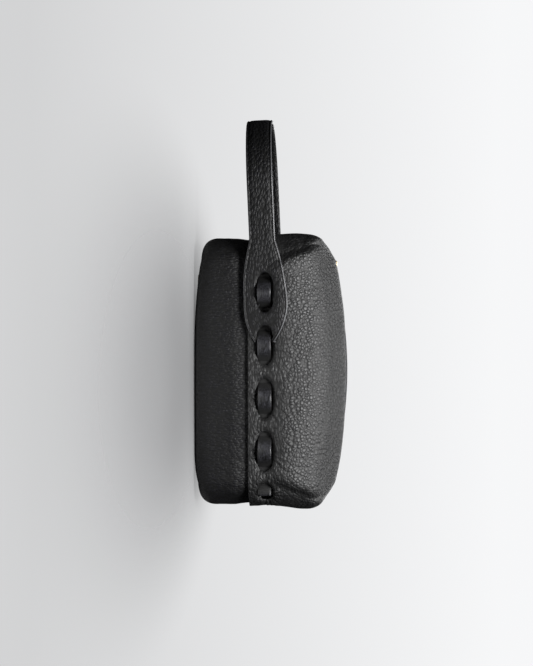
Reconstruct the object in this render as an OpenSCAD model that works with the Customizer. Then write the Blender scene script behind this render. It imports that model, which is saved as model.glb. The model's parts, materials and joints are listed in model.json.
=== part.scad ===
// Laced leather makeup bag: a soft box that stands on its base, with a zip along a domed top, a laced
// seam round its middle and a carrying loop over one end.
// Millimetres. +Z is up, +X is the bag's length, and the loop is at the -X end.
// The origin is the middle of the base.

/* [Bag] */
// Length of the leather body
bag_l = 212; // [190:1:240]
// Depth of the leather body, front to back
bag_w = 100; // [90:1:120]
// Height of the ridge that the zip runs along
ridge_h = 119.4; // [110:0.1:130]
// Slope of the top panels, in degrees
roof_slope = 17; // [12:1:20]
// Radius of the domed zip line, seen from the side
zip_r = 300; // [280:5:400]
// Radius of the four upright corners
corner_r = 22; // [16:1:26]
// Radius of the base's end edges
base_end_r = 20; // [18:1:30]
// Radius of the base's long edges
base_side_r = 16; // [12:1:20]
// Thickness of the body leather
leather_t = 2.3; // [2:0.1:2.6]

/* [Laced seam] */
// Height of the upper leather's lower edge
seam_z = 42.7; // [36:0.1:48]
// Height of the base leather's hidden top edge
overlap_z = 68; // [66:1:72]
// Height of the lace's centre line
lace_z = 55.7; // [52:0.1:58]
// Width of each slot
slot_w = 12.6; // [12:0.1:14]
// Length of each slot along the bag
slot_l = 30.6; // [30:0.1:32]
// Distance between slot centres
slot_pitch = 40.9; // [40:0.1:42]
// Centre of the slot in the loop's end
first_slot_x = -60.6; // [-62:0.1:-58]
// Width of the lace
lace_w = 10; // [8:0.5:11]
// Thickness of the lace
lace_t = 1.6; // [1.2:0.1:1.8]

/* [Mouth] */
// Half length of the part of the top that folds open
mouth_x = 68; // [60:1:69]
// Distance of the fold line from the zip
fold_y = 29; // [24:1:32]
// Thickness of the top panels' leather, pared thin
flap_t = 1.4; // [1.2:0.1:1.6]
// Distance of the leather's edge from the zip's centre line
zip_gap = 5.2; // [5:0.1:6]

/* [Zip] */
// Distance between teeth on one side
tooth_pitch = 2.05; // [2:0.05:2.5]
// Distance of the parked slider from the bag's middle
slider_x = 87; // [86:0.5:88]
// Length of the slider
slider_l = 11; // [10:0.5:12]
// Width of the slider
slider_w = 8; // [7.6:0.1:8.4]
// Length of the pull from its bar to its tip
pull_l = 14; // [10:1:15]

/* [Carrying loop] */
// Width of the strap
strap_w = 20; // [18:1:22]
// Thickness of the strap
strap_t = 3.3; // [2.8:0.1:3.6]
// How far the loop reaches out from the middle of the bag
loop_reach = 198; // [185:1:210]
// Height of the strap's centre line where it leaves the bag
strap_z = 53.8; // [52:0.1:56]
// Sag of the loop, in degrees
loop_sag = 2.5; // [0:0.5:4]
// Widest part of each teardrop end
teardrop_w = 34; // [30:1:36]

/* [Hidden] */

$fn = 64;
big = 400;              // longer than anything it cuts
gap = 0.4;              // room between the folding panels and the fixed leather
layer_gap = 0.1;        // room between two layers of leather
roof_r = zip_r / cos(roof_slope);
end_top_r = 26;         // rounding from the top down to the end faces
end_top_z = ridge_h - 9.4;
shoulder_r = 14;        // rounding from the front and rear faces to the top panels
shoulder_z = ridge_h - 12.4;
zip_centre_z = ridge_h - zip_r;

base_inset = leather_t + layer_gap;
lace_back = base_inset + leather_t + 0.2;
lining_inset = lace_back + lace_t + 0.2;
lining_t = 0.8;
board_t = 1.2;
board_z = leather_t + 0.05;
lining_z = board_z + board_t + 0.25;
lining_top = 90;

tape_t = 0.7;
facing_t = 0.6;
tape_w = 14;
teeth_in = 0.6;         // the rows stop short of the centre, which leaves room for the slider's post
teeth_out = 2.6;
tooth_l = 1.2;
tooth_low = 3.9;        // teeth lie between these depths below the ridge
tooth_top = 0.6;
zip_end_x = 97;
stop_x = 95.5;
stop_l = 2;
end_slot_x = 98;

plate_t = 1.1;
post_t = 0.9;
post_l = 4;
flange_t = 0.8;
plate_low = tooth_top - 0.3;
foot_top = tooth_low + 0.3;
tape_mid = 3.15;        // depth of the tape below the ridge where the flanges straddle it
tape_room = 0.95;
crown_t = 1.6;
crown_h = 3.2;
crown_x = 3;
root_gap = 1.6;         // lets the loop's edges turn clear of the teardrop's
bar_r = 0.6;
bar_h = 1.4;
pull_droop = 9;
pull_w = 5;
pull_eye = 3.4;         // the bar's arms reach this far before they join
slider_angle = -asin(slider_x / zip_r);

stitch_l = 2.6;
stitch_pitch = 3.6;
stitch_r = 0.25;
stitch_y = 7.4;

pivot_x = -100;
face_y = bag_w / 2;
strap_in = face_y + layer_gap;
strap_skin = 1.4;
teardrop_x = -52;
teardrop_tip = -20;
arch_low = face_y - lace_back - lace_t;
slot_count = 4;
last_slot = [87.5, 103];
lace_end = 97;
lace_start = -86;

function slot_x(i) = first_slot_x + i * slot_pitch;
function dip(x) = (roof_r - sqrt(roof_r * roof_r - x * x)) / cos(roof_slope);
function roof_z(x, y) = ridge_h - abs(y) * tan(roof_slope) - dip(x);

// ---- shapes shared by several pieces ----

module rounded(l, h, r) {
    translate([-l / 2 + r, 0]) square([l - 2 * r, h]);
    translate([-l / 2, r]) square([l, h - 2 * r]);
    for (x = [-l / 2 + r, l / 2 - r], z = [r, h - r]) translate([x, z]) circle(r);
}

// Outline with different roundings below and above, and a raised middle that the roof cuts down
module profile(l, low_r, top, top_r) {
    intersection() {
        rounded(l, big, low_r);
        union() {
            translate([-l / 2, 0]) square([l, top - top_r]);
            translate([-l / 2 + top_r, 0]) square([l - 2 * top_r, ridge_h + 10]);
            for (x = [-l / 2 + top_r, l / 2 - top_r]) translate([x, top - top_r]) circle(top_r);
        }
    }
}

module roof(side, inset) {
    translate([0, 0, ridge_h])
        rotate([-side * roof_slope, 0, 0])
            translate([0, 0, -roof_r])
                rotate([90, 0, 0])
                    cylinder(r = roof_r - inset, h = big, center = true, $fn = 720);
}

// The bag's solid outer form, taken in by inset on every side and standing on the height floor_z
module form(inset, floor_z) {
    intersection() {
        translate([0, -bag_w / 2 + inset, 0])
            linear_extrude(big) rounded(bag_l - 2 * inset, bag_w - 2 * inset, corner_r - inset);
        translate([0, big / 2, floor_z]) rotate([90, 0, 0]) linear_extrude(big)
            profile(bag_l - 2 * inset, base_end_r - inset, end_top_z - inset - floor_z, end_top_r - inset);
        translate([-big / 2, 0, floor_z]) rotate([90, 0, 90]) linear_extrude(big)
            profile(bag_w - 2 * inset, base_side_r - inset, shoulder_z - inset - floor_z,
                    shoulder_r - inset);
        roof(-1, inset);
        roof(1, inset);
    }
}

// The layer of the form between two depths
module layer(outer, inner) {
    difference() {
        form(outer, outer);
        form(inner, inner);
    }
}

// A box between two corners
module block(low, high) {
    translate(low) cube(high - low);
}

// A box on one side of the zip: side is -1 for the front and 1 for the rear
module side_block(side, x0, x1, y0, y1, z0, z1) {
    if (side < 0) block([x0, -y1, z0], [x1, -y0, z1]);
    else block([x0, y0, z0], [x1, y1, z1]);
}

// ---- the base ----

// Every slot, cut through the walls of the front and the rear
module slots() {
    for (i = [0 : slot_count - 1]) translate([slot_x(i), 0, lace_z]) rotate([90, 0, 0]) {
        for (s = [-1, 1]) translate([s * (slot_l - slot_w) / 2, 0, 0])
            cylinder(d = slot_w, h = big, center = true);
        cube([slot_l - slot_w, slot_w, big], center = true);
    }
    for (s = [-1, 1]) side_block(s, last_slot[0], last_slot[1], 20, face_y + 5,
                                 lace_z - slot_w / 2, lace_z + slot_w / 2);
}

module base_shell() {
    color("#1d1d20") difference() {
        form(base_inset, 0);
        form(base_inset + leather_t, leather_t);
        block([-big, -big, overlap_z], [big, big, big]);
        slots();
    }
}

module base_board() {
    color("#8a7a5c") translate([0, -32, board_z]) linear_extrude(board_t) rounded(150, 64, 6);
}

module lining() {
    color("#2a2a2c") difference() {
        form(lining_inset, lining_z);
        form(lining_inset + lining_t, lining_z + lining_t);
        block([-big, -big, lining_top], [big, big, big]);
    }
}

// ---- the upper leather ----

// The opening that the folding panels and the zip's ends fill
module mouth_window() {
    block([-mouth_x - gap, -fold_y - gap, 80], [mouth_x + gap, fold_y + gap, 150]);
    block([-end_slot_x, -zip_gap, 80], [end_slot_x, zip_gap, 150]);
    intersection() {
        form(flap_t, flap_t);
        block([-end_slot_x, -tape_w - gap, 80], [end_slot_x, tape_w + gap, 150]);
    }
}

module upper_half(side) {
    color("#232326") difference() {
        intersection() {
            layer(0, leather_t);
            side_block(side, -big, big, 0, big, seam_z, big);
        }
        mouth_window();
        slots();
    }
}

module upper_front() upper_half(-1);
module upper_rear() upper_half(1);

module end_seam_tape(end) {
    x0 = end < 0 ? -bag_l : 90;
    x1 = end < 0 ? -90 : bag_l;
    color("#2a2a2c") intersection() {
        layer(base_inset, base_inset + 0.8);
        block([x0, -6, overlap_z + 1], [x1, 6, 98]);
    }
}

module end_seam_tape_near_loop() end_seam_tape(-1);
module end_seam_tape_far() end_seam_tape(1);

// ---- the folding top panels ----

module flap(side) {
    color("#2b2b2e") intersection() {
        layer(0, flap_t);
        side_block(side, -mouth_x, mouth_x, zip_gap, fold_y, 80, 150);
    }
}

module facing(side) {
    top = flap_t + tape_t + 0.1;
    color("#2a2a2c") intersection() {
        layer(top, top + facing_t);
        side_block(side, -mouth_x, mouth_x, zip_gap + 1, fold_y - 0.5, 80, 150);
    }
}

module tape(side, x0, x1) {
    color("#141416") intersection() {
        layer(flap_t + 0.05, flap_t + 0.05 + tape_t);
        side_block(side, x0, x1, teeth_out, tape_w, 80, 150);
    }
}

// A row of teeth on one side of the zip, whose centres lie between two stations along it
module teeth(side, x0, x1) {
    step = tooth_pitch / zip_r * 180 / PI;
    shift = side < 0 ? 0 : step / 2;
    first = ceil((asin((x0 + tooth_l) / zip_r) - shift) / step);
    last = floor((asin((x1 - tooth_l) / zip_r) - shift) / step);
    color("#3c3c40") translate([0, 0, zip_centre_z]) for (i = [first : last])
        rotate([0, i * step + shift, 0])
            side_block(side, -tooth_l / 2, tooth_l / 2, teeth_in, teeth_out - 0.02,
                       zip_r - tooth_low, zip_r - tooth_top);
}

module stitching(side) {
    count = floor((mouth_x - 3) / stitch_pitch);
    color("#101012") for (i = [-count : count]) {
        x = i * stitch_pitch;
        translate([x, side * stitch_y, roof_z(x, stitch_y) + 0.35])
            rotate([0, asin(x / zip_r) + 90, 0])
                cylinder(r = stitch_r, h = stitch_l, center = true);
    }
}

module front_flap() flap(-1);
module front_facing() facing(-1);
module front_zip_tape() tape(-1, -mouth_x, mouth_x);
module front_zip_teeth() teeth(-1, -mouth_x, mouth_x);
module front_zip_stitching() stitching(-1);
module rear_flap() flap(1);
module rear_facing() facing(1);
module rear_zip_tape() tape(1, -mouth_x, mouth_x);
module rear_zip_teeth() teeth(1, -mouth_x, mouth_x);
module rear_zip_stitching() stitching(1);

// ---- the zip's fixed ends ----

module zip_end_tape(x0, x1) {
    tape(-1, x0, x1);
    tape(1, x0, x1);
}

module zip_end_teeth(x0, x1) {
    teeth(-1, x0, x1);
    teeth(1, x0, x1);
}

module zip_end_tape_near_loop() zip_end_tape(-zip_end_x, -mouth_x - gap);
module zip_end_tape_far() zip_end_tape(mouth_x + gap, zip_end_x);
module zip_end_teeth_near_loop() zip_end_teeth(-stop_x + 1.4, -mouth_x - gap);
module zip_end_teeth_far() zip_end_teeth(mouth_x + gap, stop_x - 1.4);

module at_zip(angle) {
    translate([0, 0, zip_centre_z]) rotate([0, angle, 0]) translate([0, 0, zip_r]) children();
}

module top_stops() {
    color("#c9b37e") at_zip(-asin(stop_x / zip_r)) for (s = [-1, 1])
        side_block(s, -stop_l / 2, stop_l / 2, teeth_in, teeth_out - 0.02, -tooth_low, -tooth_top);
}

module bottom_stop() {
    half = teeth_out - 0.02;
    color("#c9b37e") at_zip(asin(stop_x / zip_r))
        block([-stop_l / 2, -half, -tooth_low], [stop_l / 2, half, -tooth_top]);
}

// ---- the slider ----

module slider_body() {
    half_l = slider_l / 2;
    half_w = slider_w / 2;
    color("#c9b37e") at_zip(slider_angle) {
        block([-half_l, -half_w, -plate_low], [half_l, half_w, -plate_low + plate_t]);
        block([-half_l, -half_w, -foot_top - plate_t], [half_l, half_w, -foot_top]);
        block([-half_l, -post_t / 2, -foot_top], [-half_l + post_l, post_t / 2, -plate_low]);
        for (s = [-1, 1]) {
            side_block(s, -half_l, half_l, half_w - flange_t, half_w, -tape_mid + tape_room, -plate_low);
            side_block(s, -half_l, half_l, half_w - flange_t, half_w, -foot_top, -tape_mid - tape_room);
        }
    }
}

module slider_crown() {
    base = -plate_low + plate_t;
    color("#c9b37e") at_zip(slider_angle) translate([crown_x, 0, base]) difference() {
        block([-2.2, -crown_t / 2, 0], [2.2, crown_t / 2, crown_h]);
        block([-1.3, -crown_t, -1], [1.3, crown_t, crown_h - 0.9]);
    }
}

module zip_pull() {
    color("#c9b37e") at_zip(slider_angle) translate([crown_x, 0, -plate_low + plate_t + bar_h])
        rotate([0, pull_droop, 0]) {
            rotate([90, 0, 0]) cylinder(r = bar_r, h = pull_w - 0.2, center = true);
            for (s = [-1, 1]) side_block(s, 0, pull_eye, 1.2, pull_w / 2, -bar_r, bar_r);
            block([pull_eye, -pull_w / 2, -bar_r], [pull_l, pull_w / 2, bar_r]);
        }
}

// ---- the lace ----

// One arch of the lace through a slot, drawn along the bag and outward; peak is its outermost point
module arch(x, peak, half_chord) {
    rise = peak - arch_low;
    r = (half_chord * half_chord + rise * rise) / (2 * rise);
    intersection() {
        translate([x, peak - r]) difference() {
            circle(r);
            circle(r - lace_t);
        }
        translate([x - half_chord, arch_low]) square([2 * half_chord, rise]);
    }
}

module lace(side) {
    half = 13.2;
    foot = half - 1.6;
    color("#2e2e33") translate([0, 0, lace_z - lace_w / 2]) linear_extrude(lace_w)
        mirror([0, side < 0 ? 1 : 0]) {
            arch(slot_x(0), strap_in + strap_t + 0.6, half);
            for (i = [1 : slot_count - 1]) arch(slot_x(i), face_y + 0.8, half);
            for (i = [0 : slot_count - 2]) translate([slot_x(i) + foot, arch_low])
                square([slot_pitch - 2 * foot, lace_t]);
            translate([lace_start, arch_low])
                square([slot_x(0) - foot - lace_start, lace_t]);
            translate([slot_x(slot_count - 1) + foot, arch_low])
                square([lace_end - slot_x(slot_count - 1) - foot, lace_t]);
        }
}

module lace_front() lace(-1);
module lace_rear() lace(1);

// ---- the carrying loop ----

// Teardrop seen from the side: long gentle flanks towards the loop and a round tip
module teardrop() {
    half = teardrop_w / 2;
    back = teardrop_x - pivot_x;
    tip = teardrop_tip - teardrop_x;
    back_r = (back * back + (half - strap_w / 2) * (half - strap_w / 2)) / (2 * half - strap_w);
    tip_r = (tip * tip + half * half) / (2 * half);
    translate([teardrop_x, 0]) {
        intersection() {
            translate([0, half - back_r]) circle(back_r, $fn = 256);
            translate([0, back_r - half]) circle(back_r, $fn = 256);
            translate([-back, -half]) square([back, 2 * half]);
        }
        intersection() {
            translate([0, half - tip_r]) circle(tip_r);
            translate([0, tip_r - half]) circle(tip_r);
            translate([0, -half]) square([tip, 2 * half]);
        }
    }
}

module handle_end(side) {
    y0 = side < 0 ? -strap_in - strap_t : strap_in;
    color("#27272a") difference() {
        translate([pivot_x, y0 + strap_t, strap_z]) rotate([0, -loop_sag, 0]) rotate([90, 0, 0])
            linear_extrude(strap_t) difference() {
                translate([-pivot_x, 0]) teardrop();
                circle(strap_w / 2 + root_gap);
            }
        slots();
    }
}

module handle_end_front() handle_end(-1);
module handle_end_rear() handle_end(1);

// Outline of the loop's outer side at a depth below its surface, seen from above
module loop_area(depth) {
    r = strap_in + strap_t - depth;
    straight = loop_reach - (strap_in + strap_t) + pivot_x;
    translate([-straight, 0]) circle(r, $fn = 128);
    translate([-straight, -r]) square([straight + strap_w, 2 * r]);
}

module loop_layer(outer, inner) {
    translate([pivot_x, 0, strap_z]) rotate([0, -loop_sag, 0]) intersection() {
        translate([0, 0, -strap_w / 2]) linear_extrude(strap_w) difference() {
            loop_area(outer);
            loop_area(inner);
        }
        union() {
            block([-big, -big, -strap_w], [0, big, strap_w]);
            rotate([90, 0, 0]) cylinder(d = strap_w, h = big, center = true);
        }
    }
}

module handle_outer() {
    color("#27272a") loop_layer(0, strap_skin);
}

module handle_core() {
    color("#4a4038") loop_layer(strap_skin, strap_t - strap_skin);
}

module handle_inner() {
    color("#202022") loop_layer(strap_t - strap_skin, strap_t);
}

base_shell();
base_board();
lining();
upper_front();
upper_rear();
end_seam_tape_near_loop();
end_seam_tape_far();
handle_end_front();
handle_end_rear();
lace_front();
lace_rear();
zip_end_tape_near_loop();
zip_end_tape_far();
zip_end_teeth_near_loop();
zip_end_teeth_far();
top_stops();
bottom_stop();
front_flap();
front_facing();
front_zip_tape();
front_zip_teeth();
front_zip_stitching();
rear_flap();
rear_facing();
rear_zip_tape();
rear_zip_teeth();
rear_zip_stitching();
slider_body();
slider_crown();
zip_pull();
handle_outer();
handle_core();
handle_inner();
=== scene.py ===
"""Looks of the laced leather makeup bag: leather shells, lace, strap, zip and lining, round the CAD model.

Shapes are worked out in millimetres in the CAD frame, and become metres when a mesh is made.
"""

import json
import math

import bmesh
import bpy
import numpy as np
from mathutils import Matrix, Vector


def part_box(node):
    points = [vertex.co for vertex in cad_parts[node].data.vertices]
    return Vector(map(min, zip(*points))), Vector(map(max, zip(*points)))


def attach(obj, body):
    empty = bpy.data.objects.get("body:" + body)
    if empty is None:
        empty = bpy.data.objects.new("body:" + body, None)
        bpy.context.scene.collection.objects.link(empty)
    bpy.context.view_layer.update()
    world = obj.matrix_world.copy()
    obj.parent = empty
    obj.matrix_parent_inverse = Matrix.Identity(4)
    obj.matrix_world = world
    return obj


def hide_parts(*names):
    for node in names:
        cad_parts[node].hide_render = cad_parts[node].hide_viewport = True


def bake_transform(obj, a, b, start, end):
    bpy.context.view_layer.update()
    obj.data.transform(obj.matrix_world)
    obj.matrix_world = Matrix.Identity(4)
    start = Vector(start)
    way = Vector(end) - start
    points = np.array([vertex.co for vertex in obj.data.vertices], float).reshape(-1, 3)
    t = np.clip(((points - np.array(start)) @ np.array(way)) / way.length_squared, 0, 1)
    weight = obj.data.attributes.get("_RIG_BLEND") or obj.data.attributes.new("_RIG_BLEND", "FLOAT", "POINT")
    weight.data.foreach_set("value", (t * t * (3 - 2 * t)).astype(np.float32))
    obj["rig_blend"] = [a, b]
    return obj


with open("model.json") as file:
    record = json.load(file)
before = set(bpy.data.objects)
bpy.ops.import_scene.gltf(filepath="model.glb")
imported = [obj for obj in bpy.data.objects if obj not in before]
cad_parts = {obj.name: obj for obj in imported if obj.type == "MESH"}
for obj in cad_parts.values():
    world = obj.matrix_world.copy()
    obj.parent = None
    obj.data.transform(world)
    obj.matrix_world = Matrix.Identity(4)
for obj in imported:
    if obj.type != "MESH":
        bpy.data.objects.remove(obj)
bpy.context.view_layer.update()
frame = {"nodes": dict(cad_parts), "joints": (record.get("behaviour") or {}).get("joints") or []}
MM = 0.001

# ---- Sizes, from the CAD frame ----


def corners(node):
    """Lowest and highest corner of a CAD node, in millimetres."""
    low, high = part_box(node)
    return np.array(low) / MM, np.array(high) / MM


JOINTS = {j["name"]: j for j in frame["joints"]}
upper_low, upper_high = corners("upper_front")
_, base_high = corners("base_shell")
_, tooth_high = corners("front_zip_teeth")
lace_low, lace_high = corners("lace_front")
loop_low, loop_high = corners("handle_outer")

HALF_L = upper_high[0]  # half length of the upper leather
HALF_W = -upper_low[1]  # half depth
SEAM_Z = upper_low[2]  # lower edge of the upper leather
BASE_TOP = base_high[2]
CHAIN_TOP = tooth_high[2]
LACE_Z = (lace_low[2] + lace_high[2]) / 2
FOLD_Y = -JOINTS["front_panel_fold"]["pos_m"][1] / MM
ZIP_CENTRE = JOINTS["slider_travel"]["pos_m"][2] / MM
PIVOT = np.array(JOINTS["loop_swing"]["pos_m"]) / MM

CORNER_R = 22.0  # upright corners, seen from above
LEATHER = 2.2  # thickness of the body leather
ZIP_GAP = 5.2  # from the zip's centre line to the leather's edge
ZIP_R = CHAIN_TOP - ZIP_CENTRE + 0.6  # the zip's dome
ZIP_EDGE_Z = CHAIN_TOP - 2.0  # leather beside the middle of the zip
ZIP_END_X = 98.0  # the leather closes round the zip here
TOP_Z = CHAIN_TOP - 1.6  # highest leather

SLOT_PITCH = 40.9
SLOT_R = 6.3  # half height of a slot
SLOT_TAPER = 0.66  # under 1, the slot's ends are drawn out to an oval
SLOTS = [(-60.6 + i * SLOT_PITCH, 6.0) for i in range(4)] + [(97.2, 0.4)]  # middle, half its straight part

STRAP_T = 3.3
STRAP_HALF = 10.0
SAG = math.radians(2.5)
TEAR_HALF = 17.0
TEAR_X = -52.0
TEAR_TIP = -14.0  # where its edges would meet
TEAR_END = -22.5  # where they run into the second slot

MOUTH_RIGID = 40.0  # the middle of the mouth follows its panel
MOUTH_FIXED = 70.0  # beyond this it stays with the bag
CLEAR = 9.0  # slot distance of the rows that no slot reaches


def smooth(t):
    """Smooth step of t from 0 to 1."""
    t = np.clip(t, 0.0, 1.0)
    return t * t * (3 - 2 * t)


def bump(t):
    return np.exp(-t * t)


# ---- Meshes ----


def add_object(name, data):
    obj = bpy.data.objects.new(name, data)
    bpy.context.scene.collection.objects.link(obj)
    return obj


def new_mesh(name, points, faces, materials, face_material=None):
    """A smooth-shaded object at the origin from points in millimetres."""
    mesh = bpy.data.meshes.new(name)
    mesh.from_pydata((np.asarray(points, float) * MM).tolist(), [], [list(f) for f in faces])
    mesh.update()
    for material in materials:
        mesh.materials.append(material)
    mesh.polygons.foreach_set("use_smooth", [True] * len(mesh.polygons))
    if face_material is not None:
        mesh.polygons.foreach_set("material_index", face_material)
    return add_object(name, mesh)


def grid_faces(nu, nv, closed_u=False, closed_v=False, flip=False):
    """Quads of a grid whose point (i, j) is number i * nv + j."""
    faces = []
    for i in range(nu if closed_u else nu - 1):
        for j in range(nv if closed_v else nv - 1):
            a, b = i * nv + j, ((i + 1) % nu) * nv + j
            c, d = ((i + 1) % nu) * nv + (j + 1) % nv, i * nv + (j + 1) % nv
            faces.append((a, d, c, b) if flip else (a, b, c, d))
    return faces


def compact(points, faces):
    """The points that the faces use, and the faces renumbered."""
    used = sorted({k for f in faces for k in f})
    number = {k: n for n, k in enumerate(used)}
    return points[used], [tuple(number[k] for k in f) for f in faces]


def thicken(obj, thickness, bevel=0.45, inner=0, rim=0):
    """Gives a sheet its thickness on the inside, and rounds its cut edges."""
    solid = obj.modifiers.new("thickness", "SOLIDIFY")
    solid.thickness = thickness * MM
    solid.offset = -1
    solid.use_even_offset = False
    solid.material_offset = inner
    solid.material_offset_rim = rim
    if bevel:
        round_edges(obj, bevel, 55)


def round_edges(obj, width, angle, segments=2):
    edge = obj.modifiers.new("round_edges", "BEVEL")
    edge.width = width * MM
    edge.segments = segments
    edge.limit_method = "ANGLE"
    edge.angle_limit = math.radians(angle)


# ---- Materials ----


class Nodes:
    """Short calls for building a material's node tree."""

    def __init__(self, name):
        self.material = bpy.data.materials.new(name)
        self.material.use_nodes = True
        self.tree = self.material.node_tree
        self.shader = self.tree.nodes["Principled BSDF"]

    def add(self, kind, **values):
        node = self.tree.nodes.new(kind)
        for key, value in values.items():
            if hasattr(node, key):
                setattr(node, key, value)
            else:
                node.inputs[key.replace("_", " ")].default_value = value
        return node

    def link(self, output, target):
        self.tree.links.new(output, target)

    def math(self, operation, first, second=None, third=None, clamp=False):
        node = self.tree.nodes.new("ShaderNodeMath")
        node.operation = operation
        node.use_clamp = clamp
        for socket, value in zip(node.inputs, (first, second, third)):
            if value is None:
                continue
            if isinstance(value, (int, float)):
                socket.default_value = value
            else:
                self.link(value, socket)
        return node.outputs[0]

    def remap(self, value, low, high, to_low=0.0, to_high=1.0):
        node = self.add("ShaderNodeMapRange", interpolation_type="SMOOTHSTEP",
                        From_Min=low, From_Max=high, To_Min=to_low, To_Max=to_high)
        self.link(value, node.inputs["Value"])
        return node.outputs["Result"]

    def millimetres(self, stretch=(1, 1, 1)):
        """Place in the object's own frame, in millimetres, stretched along the axes."""
        where = self.add("ShaderNodeTexCoord")
        scale = self.add("ShaderNodeMapping", Scale=[s / MM for s in stretch])
        self.link(where.outputs["Object"], scale.inputs["Vector"])
        return scale.outputs["Vector"]

    def noise(self, vector, scale, detail=2.0, rough=0.5):
        node = self.add("ShaderNodeTexNoise", Scale=scale, Detail=detail, Roughness=rough)
        self.link(vector, node.inputs["Vector"])
        return node

    def cells(self, vector, scale, feature="DISTANCE_TO_EDGE"):
        node = self.add("ShaderNodeTexVoronoi", feature=feature, Scale=scale, Randomness=1.0)
        self.link(vector, node.inputs["Vector"])
        return node

    def blend_colours(self, factor, first, second):
        node = self.add("ShaderNodeMix", data_type="RGBA")
        self.link(factor, node.inputs[0])
        node.inputs[6].default_value = (*first, 1)
        node.inputs[7].default_value = (*second, 1)
        return node.outputs[2]

    def surface(self, tone, dark, light, rough):
        """Links the shader's colour, dark where the tone is 0 and light where it is 1, and its roughness."""
        self.link(self.blend_colours(tone, dark, light), self.shader.inputs["Base Color"])
        self.link(rough, self.shader.inputs["Roughness"])

    def relief(self, height, depth):
        """Bump of the height, which is 0 to 1, depth millimetres deep."""
        node = self.add("ShaderNodeBump", Strength=1.0, Distance=depth * MM)
        self.link(height, node.inputs["Height"])
        self.link(node.outputs["Normal"], self.shader.inputs["Normal"])


def leather(name, dark, light, cell, depth, rough=(0.36, 0.6), stretch=(1, 1, 1), specular=0.5,
            drawn=None):
    """Pebbled leather: cell is the size of a pebble in millimetres, depth that of the creases between.

    drawn gives the heights between which the pebbles change from long ones to round ones."""
    n = Nodes(name)
    place = n.millimetres(stretch)
    if drawn:
        split = n.add("ShaderNodeSeparateXYZ")
        n.link(n.millimetres(), split.inputs[0])
        near_lace = n.remap(split.outputs["Z"], *drawn)
    wander = n.noise(place, 0.28, 3.0)
    shift = n.add("ShaderNodeVectorMath", operation="MULTIPLY_ADD")
    n.link(wander.outputs["Color"], shift.inputs[0])
    shift.inputs[1].default_value = (cell * 0.5,) * 3
    n.link(place, shift.inputs[2])
    place = shift.outputs[0]

    def domes(where):
        crease = n.remap(n.cells(where, 1 / cell).outputs["Distance"], 0.0, 0.16, 0.45, 1.0)
        middle = n.cells(where, 1 / cell, "F1").outputs["Distance"]
        return n.math("MULTIPLY", crease, n.math("MULTIPLY_ADD", n.math("POWER", middle, 2.0), -1.5, 1.0))

    pebble = domes(place)
    if drawn:
        longer = n.add("ShaderNodeMapping", Scale=(0.5, 1.0, 1.25))
        n.link(place, longer.inputs["Vector"])
        wrinkle = domes(longer.outputs["Vector"])
        pick = n.add("ShaderNodeMix", data_type="FLOAT")
        n.link(near_lace, pick.inputs[0])
        n.link(wrinkle, pick.inputs[2])
        n.link(pebble, pick.inputs[3])
        pebble = pick.outputs[0]
    size = n.noise(place, 0.6 / cell, 1.0).outputs["Fac"]
    pores = n.noise(place, 6.0 / cell, 3.0, 0.6).outputs["Fac"]
    height = n.math("MULTIPLY", pebble, n.remap(size, 0.3, 0.7, 0.7, 1.0))
    height = n.math("MULTIPLY_ADD", pores, 0.07, height)
    n.relief(height, depth)
    patch = n.noise(n.millimetres(), 0.03, 3.0).outputs["Fac"]
    tone = n.math("MULTIPLY", n.remap(height, 0.1, 1.25), n.remap(patch, 0.3, 0.7, 0.6, 1.0))
    n.surface(tone, dark, light, n.remap(height, 0.1, 1.2, rough[1], rough[0]))
    n.shader.inputs["Specular IOR Level"].default_value = specular
    return n.material


def smooth_leather(name, dark, light, rough, streak=(0.25, 3, 3)):
    """Smooth leather with faint streaks and fine pores, and painted shade: dull and dark where its mesh is
    marked as going down into a slot.
    """
    n = Nodes(name)
    streaks = n.noise(n.millimetres(streak), 0.8, 3.0).outputs["Fac"]
    pores = n.noise(n.millimetres(), 2.2, 4.0, 0.65).outputs["Fac"]
    height = n.math("MULTIPLY_ADD", streaks, 0.7, pores)
    n.relief(height, 0.07)
    sunk_shade = n.add("ShaderNodeAttribute", attribute_name="sunk_shade").outputs["Fac"]
    # painted shade: the streak tone is darkened where the mesh goes down into a slot
    streak_tone_less_shade = n.math("SUBTRACT", n.remap(streaks, 0.35, 0.7), n.math("MULTIPLY", sunk_shade, 1.2), clamp=True)
    matt = n.math("MULTIPLY_ADD", sunk_shade, 0.45, n.remap(pores, 0.3, 0.7, rough - 0.05, rough + 0.1))
    n.surface(streak_tone_less_shade, dark, light, matt)
    return n.material


def woven(name, dark, light, pitch, rough=0.85, depth=0.12):
    """Plain weave of the given thread pitch in millimetres."""
    n = Nodes(name)
    split = n.add("ShaderNodeSeparateXYZ")
    n.link(n.millimetres(), split.inputs[0])
    across = n.math("SINE", n.math("MULTIPLY", split.outputs["X"], 2 * math.pi / pitch))
    along = n.math("SINE", n.math("MULTIPLY", n.math("ADD", split.outputs["Y"], split.outputs["Z"]),
                                  2 * math.pi / pitch))
    weave = n.remap(n.math("MULTIPLY", across, along), -1.0, 1.0)
    fuzz = n.noise(n.millimetres(), 3.0, 3.0).outputs["Fac"]
    height = n.math("MULTIPLY_ADD", fuzz, 0.5, weave)
    n.relief(height, depth)
    n.surface(n.remap(height, 0.2, 1.3), dark, light, n.remap(fuzz, 0.3, 0.7, rough - 0.05, rough + 0.08))
    n.shader.inputs["Sheen Weight"].default_value = 0.15
    return n.material


def metal(name, dark, light, rough, grain=(1, 8, 8)):
    """Polished or plated metal with faint brushing and handling marks."""
    n = Nodes(name)
    marks = n.noise(n.millimetres(grain), 1.5, 4.0, 0.6).outputs["Fac"]
    n.relief(marks, 0.02)
    n.surface(n.remap(marks, 0.3, 0.7), dark, light, n.remap(marks, 0.3, 0.7, rough, rough + 0.14))
    n.shader.inputs["Metallic"].default_value = 1.0
    return n.material


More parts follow.
